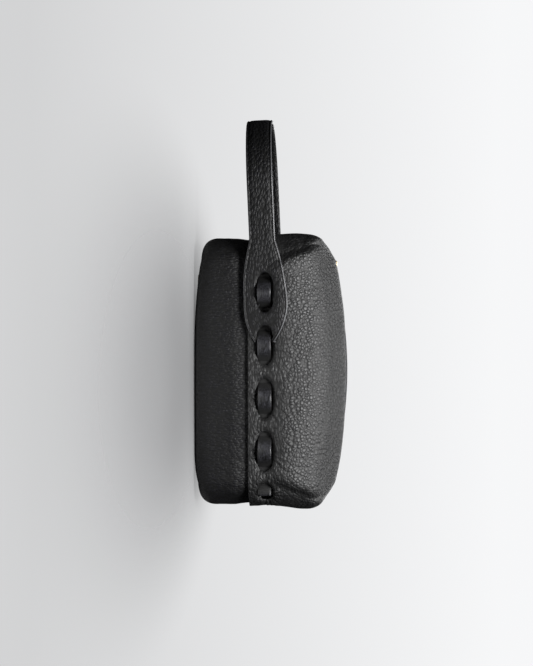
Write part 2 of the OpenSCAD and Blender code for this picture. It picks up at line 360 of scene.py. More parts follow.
UPPER_LEATHER = leather("upper_leather", (0.002, 0.002, 0.002), (0.009, 0.009, 0.010), 2.6, 0.52,
                        rough=(0.45, 0.6), drawn=(62, 76))
BASE_LEATHER = leather("base_leather", (0.002, 0.002, 0.002), (0.006, 0.006, 0.008), 2.5, 0.36,
                       rough=(0.44, 0.6), stretch=(1.45, 1.2, 0.7), specular=0.25)
STRAP_LEATHER = leather("strap_leather", (0.002, 0.002, 0.002), (0.007, 0.007, 0.009), 2.6, 0.45,
                        rough=(0.4, 0.6), stretch=(0.65, 1, 1.2), specular=0.3)
LACE_LEATHER = smooth_leather("lace_leather", (0.002, 0.002, 0.002), (0.036, 0.036, 0.042), 0.28,
                              streak=(0.12, 2.2, 2.2))
EDGE_PAINT = smooth_leather("edge_paint", (0.035, 0.035, 0.038), (0.08, 0.08, 0.085), 0.3)
CUT_LEATHER = smooth_leather("cut_leather", (0.008, 0.008, 0.009), (0.02, 0.02, 0.022), 0.6)
SUEDE = woven("suede_back", (0.02, 0.019, 0.018), (0.05, 0.047, 0.044), 0.5, 0.95)
LINING = woven("lining_fabric", (0.03, 0.029, 0.028), (0.075, 0.072, 0.069), 0.55)
TAPE = woven("zip_tape", (0.005, 0.005, 0.006), (0.020, 0.020, 0.022), 0.6, 0.8, 0.15)
THREAD = woven("thread", (0.008, 0.008, 0.009), (0.03, 0.03, 0.033), 0.35, 0.55, 0.05)
TEETH = metal("zip_teeth", (0.03, 0.03, 0.032), (0.075, 0.075, 0.078), 0.38)
GOLD = metal("zip_metal", (0.60, 0.50, 0.34), (0.78, 0.68, 0.50), 0.3)
BOARD = woven("board", (0.22, 0.17, 0.12), (0.36, 0.29, 0.2), 1.4, 0.9)

# ---- The bag's form ----


def outline(u, half_l, half_w, radius):
    """Plan of the front half, at distance u along it from the middle of the front (x and u agree there).

    Gives x, y, and the outward direction's x and y. It ends at the middle of each end."""
    flat = half_l - radius
    arc = radius * math.pi / 2
    s = np.abs(u)
    turn = np.clip((s - flat) / radius, 0, math.pi / 2)
    rest = np.clip(s - flat - arc, 0, None)
    x = np.minimum(s, flat) + radius * np.sin(turn)
    y = -(half_w - radius) - radius * np.cos(turn) + rest
    sign = np.where(u < 0, -1.0, 1.0)
    return x * sign, y, np.sin(turn) * sign, -np.cos(turn)


def half_length(half_l, half_w, radius):
    return half_l - radius + radius * math.pi / 2 + half_w - radius


def ripple(u, z, scale, seed):
    """Slow irregular waves, about -1 to 1."""
    total = 0.0
    for k in range(5):
        angle = 2.4 * k + seed
        wave = scale * (1 + 0.37 * k)
        total = total + np.sin((u * math.cos(angle) + z * math.sin(angle)) * 2 * math.pi / wave
                               + 1.7 * k + seed) / (1 + 0.5 * k)
    return total / 2.2


def zip_dip(x):
    return ZIP_R - np.sqrt(ZIP_R ** 2 - np.minimum(np.abs(x), 200) ** 2)


def fold_height(u):
    """Height of the soft fold between the wall and the top panel."""
    return 101.5 - 4.0 * smooth((np.abs(u) - 45) / 45) + 1.8 * smooth((np.abs(u) - 100) / 15)


def wall_bulge(u, z):
    """How far the soft upper wall stands out from its plan, without the slots."""
    t = np.clip((z - SEAM_Z) / (fold_height(u) - SEAM_Z), 0, 1)
    at_end = smooth((np.abs(u) - 80) / 30)
    waist = -(1.0 + 0.4 * at_end) * (1 - smooth(t / 0.4))
    pillow = (1.9 - 1.4 * at_end) * np.sin(math.pi * np.clip(t / 0.75, 0, 1) ** 0.9)
    lean = -(4.5 - 3.3 * at_end) * smooth((t - 0.4) / 0.75) * 1.4
    crease = np.where(u < 0, 82.5 + 0.52 * (z - 65), 86.5 + 0.58 * (z - 65))  # it leans out with height
    past = np.abs(u) - crease
    beyond = smooth((past + 3) / 12) * (1 - smooth((np.abs(u) - 104) / 22))
    pinch = np.where(u < 0, 0.5, 2.5) * bump((past - 1) / 5.5)
    valley = -(pinch + np.where(u < 0, 5.2, 2.8) * beyond) * smooth((z - 50) / 22)
    valley = valley * (1 - 0.75 * smooth((z - 82) / 16))
    swell = np.where(u < 0, 2.2 * bump((z - 77) / 24), 3.6 * bump((z - 87) / 17))
    seam_end = 2.0 * smooth(u / 20) * (1 - smooth((z - SEAM_Z) / 16))
    end_out = (swell + seam_end - 1.2 * bump((z - 66) / 16)) * smooth((np.abs(u) - 108) / 16)
    return waist + pillow + lean + valley + end_out + 0.45 * ripple(u, z, 46, 1.3)


def slot_distance(u, z):
    """Distance outside the nearest slot's edge, its number, and the angle round it."""
    best = np.full(np.broadcast(u, z).shape, 1e9)
    which = np.zeros(best.shape, int)
    angle = np.zeros(best.shape)
    for i, (centre, straight) in enumerate(SLOTS):
        along = u - centre
        past = along - np.clip(along, -straight, straight)
        away = np.hypot(past * SLOT_TAPER, z - LACE_Z) - SLOT_R
        nearer = away < best
        best = np.where(nearer, away, best)
        which = np.where(nearer, i, which)
        angle = np.where(nearer, np.arctan2((z - LACE_Z) * 1.7, along), angle)
    return best, which, angle


def slot_pull(u, z):
    """Leather drawn in round the slots, with small pleats running out from them."""
    away, which, angle = slot_distance(u, z)
    away = np.clip(away, 0, None)
    rolled = -1.9 * np.clip(1 - away / 2.6, 0, 1) ** 2
    dent = -1.0 * bump(away / 6.5)
    pleats = np.sin(19 * angle + 2.3 * which) * np.sin(7 * angle + which + 0.6)
    fine = np.sin(31 * angle + 1.1 * which)
    gathered = (0.75 * pleats + 0.3 * fine) * np.exp(-away / 6.5) * smooth((away + 0.4) / 1.6)
    return rolled + dent + gathered


def snap_to_slots(u, z, limit):
    """Moves points that lie a little inside a slot out to its edge."""
    for _ in range(3):
        away, which, _angle = slot_distance(u, z)
        step = 0.05
        grad_u = (slot_distance(u + step, z)[0] - away) / step
        grad_z = (slot_distance(u, z + step)[0] - away) / step
        size = np.maximum(np.hypot(grad_u, grad_z), 1e-6)
        move = np.where((away < 0) & (away > -limit), -away, 0) / size
        u, z = u + grad_u / size * move, z + grad_z / size * move
    return u, z


def zip_target(u, edge_y, end_x):
    """Where the profile that starts at u ends, on the leather's edge beside the zip: x and y."""
    flat = HALF_L - CORNER_R
    far = half_length(HALF_L, HALF_W, CORNER_R)
    s = np.abs(u)
    turns_in = far - 7  # from here on the edge closes round the zip's end
    x = np.interp(s, [0, flat, turns_in, far], [0, flat, end_x, end_x])
    y = np.interp(s, [0, turns_in, far], [edge_y, edge_y, 0.0])
    return np.where(u < 0, -x, x), -y


def top_height(x, share, fold):
    """Height of the top panel: share is 0 at the fold and 1 at the zip's edge."""
    edge = ZIP_EDGE_Z - zip_dip(x)
    line = fold + share * (edge - fold)
    crest_at = 0.84
    droop = np.where(x < 0, 6.3e-4, 5.6e-4)
    wanted = TOP_Z - droop * x ** 2 - 6.0e-8 * x ** 4
    lip = 1 - smooth((np.abs(x) - 85) / 16)
    crest = np.maximum(wanted - (fold + crest_at * (edge - fold)), 0) * lip
    rise = smooth((share - 0.25) / (crest_at - 0.25))
    fall = 1 - smooth((share - crest_at) / (1 - crest_at)) * 0.9
    return line + crest * rise * fall


def profile(start_z, fold, edge_z, run, radius, count):
    """Points from start_z up the wall, round the fold and along the top: distance in, and height."""
    rise = edge_z - fold
    length = math.hypot(run, rise)
    turn = math.acos(rise / length)
    trim = min(radius * math.tan(turn / 2), 0.75 * length, fold - start_z - 1)
    t = np.linspace(0, 1, 24)
    foot = np.array([0, fold - trim])
    knee = np.array([0, fold])
    head = knee + np.array([run, rise]) / length * trim
    curve = ((1 - t) ** 2)[:, None] * foot + (2 * t * (1 - t))[:, None] * knee + (t ** 2)[:, None] * head
    line = np.vstack([[0, start_z], curve, [run, edge_z]])
    steps = np.concatenate([[0], np.cumsum(np.hypot(*np.diff(line, axis=0).T))])
    at = np.linspace(0, steps[-1], count)
    return np.interp(at, steps, line[:, 0]), np.interp(at, steps, line[:, 1])


WALL_TOP = 78.0  # rows below this height lie level


def upper_points(inset=0.0, drop=0.0, detail=True, cell=1.05, low_z=None):
    """Front half of the upper leather, as a grid of points, with the grid's slot distances.

    inset takes the wall in and drop lowers the top, which gives the lining."""
    far = half_length(HALF_L, HALF_W, CORNER_R)
    nu = int(2 * far / cell)
    u = np.linspace(-far, far, nu)
    low = SEAM_Z if low_z is None else low_z
    n_wall = int((WALL_TOP - low) / cell)
    n_top = int(70 / cell)
    wall_z = np.linspace(low, WALL_TOP, n_wall, endpoint=False)
    uu, zz = np.meshgrid(u, wall_z, indexing="ij")
    if detail:
        uu, zz = snap_to_slots(uu, zz, 1.6)
    px, py, nx, ny = outline(u, HALF_L, HALF_W, CORNER_R)
    wx, wy, wnx, wny = outline(uu, HALF_L, HALF_W, CORNER_R)
    out = wall_bulge(uu, zz) - inset
    if detail:
        out = out + slot_pull(uu, zz)
        out = out - 0.7 * smooth((np.abs(uu) - far + 1.8) / 1.8)
    wall = np.stack([wx + wnx * out, wy + wny * out, zz], -1)
    tx, ty = zip_target(u, ZIP_GAP + inset * 0.25, ZIP_END_X - inset * 0.25)
    fold = fold_height(u)
    fillet = 26 - 14 * smooth((np.abs(u) - 100) / 14)
    top = np.zeros((nu, n_top, 3))
    for i in range(nu):
        run = math.hypot(tx[i] - px[i], ty[i] - py[i])
        edge_z = ZIP_EDGE_Z - zip_dip(tx[i])
        inward, height = profile(WALL_TOP, fold[i], edge_z, run, fillet[i], n_top)
        share = inward / run
        straight = fold[i] + share * (edge_z - fold[i])
        height = height + (top_height(tx[i], share, fold[i]) - straight)
        out = (wall_bulge(u[i], np.minimum(height, fold[i])) - inset) * (1 - share) ** 1.5
        if detail:
            height = height + 0.35 * ripple(u[i], inward + 40, 30, 4.1) * smooth(share * 4) \
                * smooth((1 - share) * 5)
            height = height - 0.35 * bump((share * run - (run - 2.4)) / 0.9)
            out = out - 0.7 * smooth((abs(u[i]) - far + 1.8) / 1.8) * (1 - share)
        dx, dy = (tx[i] - px[i]) / run, (ty[i] - py[i]) / run
        top[i, :, 0] = px[i] + dx * inward + nx[i] * out
        top[i, :, 1] = py[i] + dy * inward + ny[i] * out
        top[i, :, 2] = height - drop * smooth(share * 3)
    points = np.concatenate([wall, top], 1)
    return points, slot_marks(points, u, wall_z, detail)


def slot_marks(points, u, wall_z, detail):
    """Slot distance of each point of a shell, from before the points were moved out of the slots."""
    away = np.full(points.shape[:2], CLEAR)
    if detail:
        away[:, :len(wall_z)] = slot_distance(*np.meshgrid(u, wall_z, indexing="ij"))[0]
    return away


def drop_faces(faces, away):
    """Without the faces that lie wholly inside a slot."""
    flat = away.ravel()
    return [f for f in faces if max(flat[k] for k in f) > 0]


def mirrored(points):
    return points * np.array([1, -1, 1])


def fold_with(obj, side):
    """Bends obj across the mouth's fold: side is -1 for the front and 1 for the rear.

    The middle of the mouth turns with its panel, and its ends stay with the bag."""
    body = "front_panel" if side < 0 else "rear_panel"
    y = side * FOLD_Y * MM
    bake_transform(obj, "bag", body, start=(0, y + side * 0.005, 0), end=(0, y - side * 0.008, 0))
    weights = np.zeros(len(obj.data.vertices), np.float32)
    attribute = obj.data.attributes["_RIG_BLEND"]
    attribute.data.foreach_get("value", weights)
    x = np.array([abs(v.co.x) for v in obj.data.vertices]) / MM
    height = np.array([v.co.z for v in obj.data.vertices]) / MM
    keep = smooth((MOUTH_FIXED - x) / (MOUTH_FIXED - MOUTH_RIGID)) * (height > WALL_TOP)
    attribute.data.foreach_set("value", (weights * keep).astype(np.float32))


def build_upper(side):
    points, away = upper_points()
    nu, nv = points.shape[:2]
    if side > 0:
        points = mirrored(points)
    faces = drop_faces(grid_faces(nu, nv, flip=side > 0), away)
    flat, faces = compact(points.reshape(-1, 3), faces)
    name = "upper_leather_front" if side < 0 else "upper_leather_rear"
    obj = new_mesh(name, flat, faces, [UPPER_LEATHER, SUEDE, CUT_LEATHER])
    thicken(obj, LEATHER - 0.4, bevel=0.5, inner=1, rim=2)
    fold_with(obj, side)
    if side < 0:
        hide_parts("upper_front", "front_flap")
    else:
        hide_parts("upper_rear", "rear_flap")


# ---- The base ----

BASE_L = HALF_L - 3.6
BASE_W = HALF_W - 2.5
BASE_R = 20.0
BASE_WALL_FOOT = 34.0  # rows above this height lie level


def base_bulge(u, z):
    at_end = smooth((np.abs(u) - 78) / 28)
    belly = (0.9 - 0.5 * at_end) * np.sin(math.pi * np.clip(z / 44, 0, 1))
    pinch = -1.3 * smooth((z - 30) / 12)
    gathers = 0.22 * ripple(u * 1.4, z * 0.6, 7, 2.2) * smooth((np.abs(u) - 35) / 45) * smooth((z - 8) / 20)
    past = np.abs(u) - (83 + 0.5 * (BASE_TOP - z))
    beyond = smooth((past + 2) / 10) * (1 - smooth((np.abs(u) - 102) / 20))
    valley = -(0.9 * bump(past / 5.0) + 2.6 * beyond) * smooth((z - 12) / 18)
    end_out = np.where(u < 0, 1.0, 2.4) * smooth((np.abs(u) - 104) / 16)
    return belly + pinch + gathers + valley + end_out + 0.3 * ripple(u, z, 38, 5.2)


def base_rise(x, z):
    """The base turns up a little towards both ends, more at the loop's."""
    near = 5.2 * np.clip((-x - 20) / 66, 0, 1) ** 2
    far = 2.6 * np.clip((x - 60) / 27, 0, 1) ** 2
    return (near + far) * (1 - smooth(z / 34))


def base_points(inset=0.0, lift=0.0, detail=True, cell=1.15, top_z=None):
    """Front half of the base leather: from the middle of the floor out, and up behind the upper leather."""
    half_l, half_w = BASE_L, BASE_W
    far = half_length(half_l, half_w, BASE_R)
    nu = int(2 * far / cell)
    u = np.linspace(-far, far, nu)
    top = BASE_TOP - 2 if top_z is None else top_z
    n_wall = int((top - BASE_WALL_FOOT) / cell)
    n_low = int(78 / cell)
    wall_z = np.linspace(top, BASE_WALL_FOOT, n_wall, endpoint=False)
    uu, zz = np.meshgrid(u, wall_z, indexing="ij")
    if detail:
        uu, zz = snap_to_slots(uu, zz, 1.7)
    wx, wy, wnx, wny = outline(uu, half_l, half_w, BASE_R)
    out = base_bulge(uu, zz) - inset
    wall = np.stack([wx + wnx * out, wy + wny * out, zz], -1)
    px, py, nx, ny = outline(u, half_l, half_w, BASE_R)
    low = np.zeros((nu, n_low, 3))
    spine = half_l - 52
    for i in range(nu):
        tx = float(np.clip(px[i], -spine, spine))
        run = math.hypot(tx - px[i], py[i])
        radius = 13 + 2.0 * abs(nx[i])
        inward, height = profile(-BASE_WALL_FOOT, 0.0, 0.0001, run, radius, n_low)
        height = -height
        out = (base_bulge(u[i], height) - inset) * (1 - inward / run) ** 1.2
        dx, dy = (tx - px[i]) / run, -py[i] / run
        low[i, :, 0] = px[i] + dx * inward + nx[i] * out
        low[i, :, 1] = py[i] + dy * inward + ny[i] * out
        height = np.maximum(height, 0)
        low[i, :, 2] = height + base_rise(low[i, :, 0], height) + lift * (1 - np.clip(height / 40, 0, 1))
    points = np.concatenate([wall, low], 1)
    return points, slot_marks(points, u, wall_z, detail)


def weld(obj, distance=0.05):
    """Merges points that lie together, and turns the faces the same way out."""
    bm = bmesh.new()
    bm.from_mesh(obj.data)
    bmesh.ops.remove_doubles(bm, verts=bm.verts, dist=distance * MM)
    bmesh.ops.recalc_face_normals(bm, faces=bm.faces)
    bm.to_mesh(obj.data)
    bm.free()
    obj.data.polygons.foreach_set("use_smooth", [True] * len(obj.data.polygons))
    obj.data.update()


def both_halves(name, points, away, materials):
    """The front half and its mirror image in one mesh, welded where they meet."""
    front = drop_faces(grid_faces(*points.shape[:2], flip=True), away)
    rear = [tuple(reversed(f)) for f in front]
    flat = points.reshape(-1, 3)
    flat, faces = compact(*joined([(flat, front), (mirrored(flat), rear)]))
    obj = new_mesh(name, flat, faces, materials)
    weld(obj)
    return obj


def build_base():
    points, away = base_points()
    obj = both_halves("base_leather", points, away, [BASE_LEATHER, SUEDE, CUT_LEATHER])
    thicken(obj, LEATHER, bevel=0.4, inner=1, rim=2)
    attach(obj, "bag")
    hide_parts("base_shell")


def build_lining():
    points, away = base_points(inset=4.6, lift=4.2, detail=False, cell=2.2, top_z=SEAM_Z + 3)
    low = both_halves("lining_base", points, away, [LINING])
    thicken(low, 0.6, bevel=0)
    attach(low, "bag")
    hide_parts("lining")
    for side, name, facing in ((-1, "lining_front", "front_facing"), (1, "lining_rear", "rear_facing")):
        points, away = upper_points(inset=7.2, drop=2.6, detail=False, cell=2.0, low_z=SEAM_Z - 4)
        nu, nv = points.shape[:2]
        if side > 0:
            points = mirrored(points)
        obj = new_mesh(name, points.reshape(-1, 3), grid_faces(nu, nv, flip=side > 0), [LINING])
        thicken(obj, 0.6, bevel=0)
        fold_with(obj, side)
        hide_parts(facing)


# ---- The lace ----

LACE_HALF = 5.2
LACE_T = 1.8
LACE_DEPTH = -5.6  # runs this far behind the upper leather's face
LACE_END = 98.0  # cut end, along the seam


def lace_out(u):
    """How far the lace stands out from the upper leather's face, along its run."""
    out = np.full(len(u), LACE_DEPTH)
    for i in range(5):
        centre = SLOTS[0][0] + i * SLOT_PITCH
        peak = 1.0 + (STRAP_T + 0.2 if i == 0 else 0)
        arch = np.clip(1 - ((u - centre) / 11.6) ** 2, 0, None)
        out = np.maximum(out, LACE_DEPTH + (peak - LACE_DEPTH) * arch)
    return out


def lace_sunk_shade(u):
    """Painted shade mask: 0 on the outer face of each stretch of lace, and 1 where it goes down into a slot,
    where the lace's colour is darkened to stand in for the slot's shade.
    """
    nearest = np.round((u - SLOTS[0][0]) / SLOT_PITCH) * SLOT_PITCH + SLOTS[0][0]
    return smooth((np.abs(u - nearest) - 4.5) / 6.5)


def section(half_w, half_t, corner=0.45, crown=0.0, count=9):
    """Ring of a flat strip's cross-section: across and thickness coordinates."""
    across = np.linspace(-half_w + corner, half_w - corner, count)
    top = half_t + crown * (1 - (across / half_w) ** 2)
    ring = list(zip(across, top))
    ring += [(half_w - corner * 0.3, half_t - corner * 0.3), (half_w, half_t - corner)]
    ring += [(half_w, -half_t + corner), (half_w - corner * 0.3, -half_t + corner * 0.3)]
    ring += [(a, -half_t) for a in across[::-1]]
    ring += [(-half_w + corner * 0.3, -half_t + corner * 0.3), (-half_w, -half_t + corner)]
    ring += [(-half_w, half_t - corner), (-half_w + corner * 0.3, half_t - corner * 0.3)]
    return np.array(ring)


def build_lace(side):
    u = np.arange(-LACE_END, LACE_END + 0.01, 0.8)
    x, y, nx, ny = outline(u, HALF_L, HALF_W, CORNER_R)
    z = LACE_Z - 0.4 + 0.3 * np.sin(u / 23.0)
    out = lace_out(u) + wall_bulge(u, z) - 0.6
    line = np.stack([x + nx * out, y + ny * out, z], -1)
    along = np.gradient(line, axis=0)
    along /= np.linalg.norm(along, axis=1)[:, None]
    up = np.array([0, 0, 1.0])
    normal = np.cross(up, along)
    normal /= np.linalg.norm(normal, axis=1)[:, None]
    facing = np.sign(np.einsum("ij,ij->i", normal, np.stack([nx, ny, 0 * nx], -1)).sum())
    normal *= facing
    ring = section(LACE_HALF, LACE_T / 2, crown=0.25)
    points = line[:, None, :] + ring[None, :, 0, None] * up + ring[None, :, 1, None] * normal[:, None, :]
    count = len(ring)
    faces = grid_faces(len(u), count, closed_v=True)
    last = (len(u) - 1) * count
    faces += [tuple(range(count)), tuple(range(last + count - 1, last - 1, -1))]
    flat = points.reshape(-1, 3)
    if side > 0:
        flat = mirrored(flat)
        faces = [tuple(reversed(f)) for f in faces]
    obj = new_mesh("lace_strip_front" if side < 0 else "lace_strip_rear", flat, faces, [LACE_LEATHER])
    # painted shade: marks the lace's stretches inside the slots, which the lace material darkens
    sunk_shade = obj.data.attributes.new("sunk_shade", "FLOAT", "POINT")
    sunk_shade.data.foreach_set("value", np.repeat(lace_sunk_shade(u), count).astype(np.float32))
    weld(obj, 0.001)
    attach(obj, "bag")
    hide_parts("lace_front" if side < 0 else "lace_rear")


# ---- The strap ----


def strap_half(x):
    """Half width of the strap at a place along the front."""
    back = TEAR_X - PIVOT[0]
    back_r = (back ** 2 + (TEAR_HALF - STRAP_HALF) ** 2) / (2 * (TEAR_HALF - STRAP_HALF))
    tip = TEAR_TIP - TEAR_X
    tip_r = (tip ** 2 + TEAR_HALF ** 2) / (2 * TEAR_HALF)
    gone = np.clip(TEAR_X - x, 0, back)
    flank = TEAR_HALF - (back_r - np.sqrt(back_r ** 2 - gone ** 2))
    past = np.clip(x - TEAR_X, 0, tip)
    point = np.sqrt(tip_r ** 2 - past ** 2) - (tip_r - TEAR_HALF)
    return np.where(x < TEAR_X, np.maximum(flank, STRAP_HALF), point)


def strap_lift(x):
    """The teardrop stands a little nearer the zip than the slots, except at its tip and its neck."""
    return 1.1 * bump((x - TEAR_X) / 17)


def strap_place(local, bow):
    """Place of a point of the strap in the XZ plane, from its distance past the pivot and its bow.

    The loop sags in a straight line, and the teardrop levels out along the slots."""
    turn = SAG * (1 - smooth((local - 10) / 35))
    rise = SAG * np.where(local < 10, local, np.minimum(local, 45) * 0.72 + 2.8)
    return PIVOT[0] + local - bow * np.sin(turn), PIVOT[2] + rise + bow * np.cos(turn)


def build_strap():
    reach = PIVOT[0] - loop_low[0] - 0.3
    radius = loop_high[1]
    straight = reach - radius
    x_low = PIVOT[0] - straight
    flat_run = TEAR_END - x_low
    arc_run = math.pi * radius
    n_flat, n_arc = int(flat_run / 1.1), int(arc_run / 1.6)
    xs = np.linspace(TEAR_END, x_low, n_flat, endpoint=False)
    turn = np.linspace(0, math.pi, n_arc, endpoint=False)
    rows = [(x, None, -1) for x in xs] + [(x_low, t, 0) for t in turn]
    rows += [(x, None, 1) for x in xs[::-1]]
    rows.insert(n_flat + n_arc, (x_low, math.pi, 0))
    edge = 1.9
    margin = np.array([0, 0.3, 0.65, 1.0, 1.3, 1.6, 1.9, 2.2, 2.6, 3.2])
    middle = np.linspace(-1, 1, 17)[1:-1]
    points = np.zeros((len(rows), 2 * len(margin) + len(middle), 3))
    away = np.full(points.shape[:2], CLEAR)
    for i, (x, t, side) in enumerate(rows):
        half = float(strap_half(np.array(x)))
        bow = np.concatenate([margin - half, middle * (half - margin[-1]), (half - margin)[::-1]])
        inner = half - np.abs(bow)
        groove = -0.4 * bump((inner - edge) / 0.5) + 0.3 * smooth((inner - edge) / 4)
        groove = groove - 0.7 * np.clip(1 - inner / 1.1, 0, 1) ** 2
        local = x - PIVOT[0]
        if t is None:
            gx, gz = strap_place(local, bow)
            if x > PIVOT[0] + 4:
                away[i] = slot_distance(gx, gz)[0]
                gx, gz = snap_to_slots(gx, gz, 1.9)
            on_bag = smooth((x - (PIVOT[0] + 6)) / 24)
            rest_y = radius
            gap = np.clip(slot_distance(gx, gz)[0], 0, None)
            skived = 1.3 * smooth((x + 50) / 24)
            hug = HALF_W + wall_bulge(gx, gz) - 0.9 * bump(gap / 6.5) + STRAP_T + 0.25 - skived
            y = rest_y + (hug - rest_y) * on_bag + groove
            y = y - 1.4 * np.clip(1 - gap / 2.2, 0, 1) ** 2 * on_bag
            gz = gz + strap_lift(x) * smooth(gap / 5)
            points[i] = np.stack([gx, side * y, gz], -1)
        else:
            r = radius + groove
            lx = local - r * math.sin(t) * (reach - straight) / radius
            ly = -r * math.cos(t)
            gx, gz = strap_place(lx, bow)
            points[i] = np.stack([gx, ly, gz], -1)
    nu, nv = points.shape[:2]
    faces = drop_faces(grid_faces(nu, nv, flip=True), away)
    painted = [2 * (min(f[0] % nv, nv - 2 - f[0] % nv) < 2) for f in faces]
    flat, faces = compact(points.reshape(-1, 3), faces)
    obj = new_mesh("strap", flat, faces, [STRAP_LEATHER, STRAP_LEATHER, EDGE_PAINT], painted)
    thicken(obj, STRAP_T, bevel=0.3, rim=2)
    x0 = PIVOT[0] * MM
    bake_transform(obj, "bag", "loop", start=(x0 + 0.008, 0, 0), end=(x0 - 0.010, 0, 0))
    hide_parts("handle_outer", "handle_core", "handle_inner", "handle_end_front", "handle_end_rear")


# ---- The zip ----

TOOTH_PITCH = 2.05
TAPE_Z = 2.6  # middle of the tape below the tops of the teeth
ZIP_SPAN = 94.0  # the teeth run this far from the middle, along the dome
STITCH_PITCH = 3.6
STITCHES = 25  # each side of the middle one


def zip_height(x, below):
    """Height at a depth below the tops of the teeth, on the zip's dome."""
    return ZIP_CENTRE + np.sqrt((CHAIN_TOP - ZIP_CENTRE - below) ** 2 - x ** 2)


def build_tape(side):
    xs = np.linspace(-ZIP_END_X + 1, ZIP_END_X - 1, 140)
    ys = np.array([0.9, 1.5, 2.2, 2.8, 3.6, 4.4, 5.2, 6.5, 8.0, 10.0, 12.0])
    points = np.zeros((len(xs), len(ys), 3))
    for i, x in enumerate(xs):
        fold = float(fold_height(x))
        share = (HALF_W - ys) / (HALF_W - ZIP_GAP)
        under = top_height(x, np.minimum(share, 1), fold) - LEATHER
        flat = zip_height(x, TAPE_Z)
        height = np.where(ys < 4.5, flat, np.minimum(flat, under))
        points[i] = np.stack([np.full(len(ys), x), side * ys, height], -1)
    obj = new_mesh("tape_front" if side < 0 else "tape_rear", points.reshape(-1, 3),
                   grid_faces(len(xs), len(ys), flip=side < 0), [TAPE])
    thicken(obj, 0.6, bevel=0.15)
    fold_with(obj, side)
    if side < 0:
        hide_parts("front_zip_tape", "zip_end_tape_near_loop")
    else:
        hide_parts("rear_zip_tape", "zip_end_tape_far")


def tube_faces(rings, sides):
    """Faces of a closed tube of rings, with its two ends."""
    faces = []
    for k in range(rings - 1):
        for j in range(sides):
            a, b = k * sides + j, k * sides + (j + 1) % sides
            faces.append((a, b, b + sides, a + sides))
    return faces + [tuple(range(sides))[::-1], tuple(range((rings - 1) * sides, rings * sides))]


def tooth_template():
    """One tooth on the +Y side at the origin: a clamp over the tape and a waisted head past the centre."""
    outline_y = [2.75, 1.5, 0.9, 0.3, -0.55]
    half_x = [0.62, 0.62, 0.5, 0.66, 0.5]
    half_z = [1.4, 1.6, 1.55, 1.6, 1.3]
    ring = [(math.cos(a), math.sin(a)) for a in np.linspace(0, 2 * math.pi, 12, endpoint=False)]
    square = [(math.copysign(abs(c) ** 0.45, c), math.copysign(abs(s) ** 0.45, s)) for c, s in ring]
    points = [(hx * c, y, hz * s) for y, hx, hz in zip(outline_y, half_x, half_z) for c, s in square]
    return np.array(points), tube_faces(len(outline_y), len(square))


def copies(template, faces, places):
    """Many copies of a template: each place is (rotation about Y, shift, mirror in y)."""
    return joined([(turned(template * np.array([1, side, 1]), angle, shift),
                    faces if side > 0 else [f[::-1] for f in faces]) for angle, shift, side in places])


def build_teeth(side):
    template, faces = tooth_template()
    radius = CHAIN_TOP - ZIP_CENTRE - 1.65
    places = []
    count = int(ZIP_SPAN / TOOTH_PITCH)
    for k in range(-count, count + 1):
        arc = (k + (0.5 if side > 0 else 0)) * TOOTH_PITCH
        if abs(arc) > ZIP_SPAN:
            continue
        angle = arc / radius
        shift = np.array([radius * math.sin(angle), 0, ZIP_CENTRE + radius * math.cos(angle)])
        places.append((angle, shift, side))
    points, all_faces = copies(template, faces, places)
    obj = new_mesh("teeth_front" if side < 0 else "teeth_rear", points, all_faces, [TEETH])
    fold_with(obj, side)
    if side < 0:
        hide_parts("front_zip_teeth", "zip_end_teeth_near_loop")
    else:
        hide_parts("rear_zip_teeth", "zip_end_teeth_far")


def stitch_template(length, radius):
    """A sunken stitch of two twisted plies along X."""
    rings, sides = 9, 8
    points = []
    for i in range(rings):
        t = -1 + 2 * i / (rings - 1)
        r = radius * (0.35 + 0.65 * math.sqrt(max(1 - t ** 4, 0)))
        lift = -0.5 * abs(t) ** 3
        for j in range(sides):
            a = 2 * math.pi * j / sides
            ply = 1 + 0.12 * math.cos(2 * a + 5 * t)
            points.append((t * length / 2, r * ply * math.cos(a), r * ply * math.sin(a) + lift))
    return np.array(points), tube_faces(rings, sides)


def build_stitching(side):
    template, faces = stitch_template(2.9, 0.34)
    inward = 2.4
    places = []
    for k in range(-STITCHES, STITCHES + 1):
        x = k * STITCH_PITCH
        share = 1 - inward / (HALF_W - ZIP_GAP)
        z = top_height(x, share, float(fold_height(x))) - 0.22
        places.append((math.asin(x / ZIP_R), np.array([x, side * (ZIP_GAP + inward), z]), 1))
    points, all_faces = copies(template, faces, places)
    obj = new_mesh("stitching_front" if side < 0 else "stitching_rear", points, all_faces, [THREAD])
    fold_with(obj, side)
    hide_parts("front_zip_stitching" if side < 0 else "rear_zip_stitching")


# ---- The slider, its pull and the stops ----

slider_low, slider_high = corners("slider_body")
_, crown_high = corners("slider_crown")
SLIDER_X = (slider_low[0] + slider_high[0]) / 2
SLIDER_Z = (slider_low[2] + slider_high[2]) / 2
SLIDER_TURN = math.atan2(SLIDER_X, SLIDER_Z - ZIP_CENTRE)
CROWN_RISE = max(float(crown_high[2] - slider_high[2]), 2.4)  # the crown above the slider's plate
BAR = np.array(JOINTS["pull_swing"]["pos_m"]) / MM
PULL_DROOP = math.radians(9.0)


def turned(points, angle, origin):
    """Points turned about Y, then moved to the origin given."""
    c, s = math.cos(angle), math.sin(angle)
    p = np.asarray(points, float)
    return np.stack([p[:, 0] * c + p[:, 2] * s, p[:, 1], -p[:, 0] * s + p[:, 2] * c], -1) + origin


def at_zip(points, angle):
    """From the frame of the zip's ridge, x along it and z outward, to the bag's."""
    c, s = math.cos(angle), math.sin(angle)
    return turned(points, angle, np.array([ZIP_R * s, 0, ZIP_CENTRE + ZIP_R * c]))


def slab(edge, low, high):
    """A flat plate between two heights, from its outline."""
    n = len(edge)
    points = [(x, y, low) for x, y in edge] + [(x, y, high) for x, y in edge]
    faces = [(i, (i + 1) % n, (i + 1) % n + n, i + n) for i in range(n)]
    faces += [tuple(range(n))[::-1], tuple(range(n, 2 * n))]
    return np.array(points, float), faces


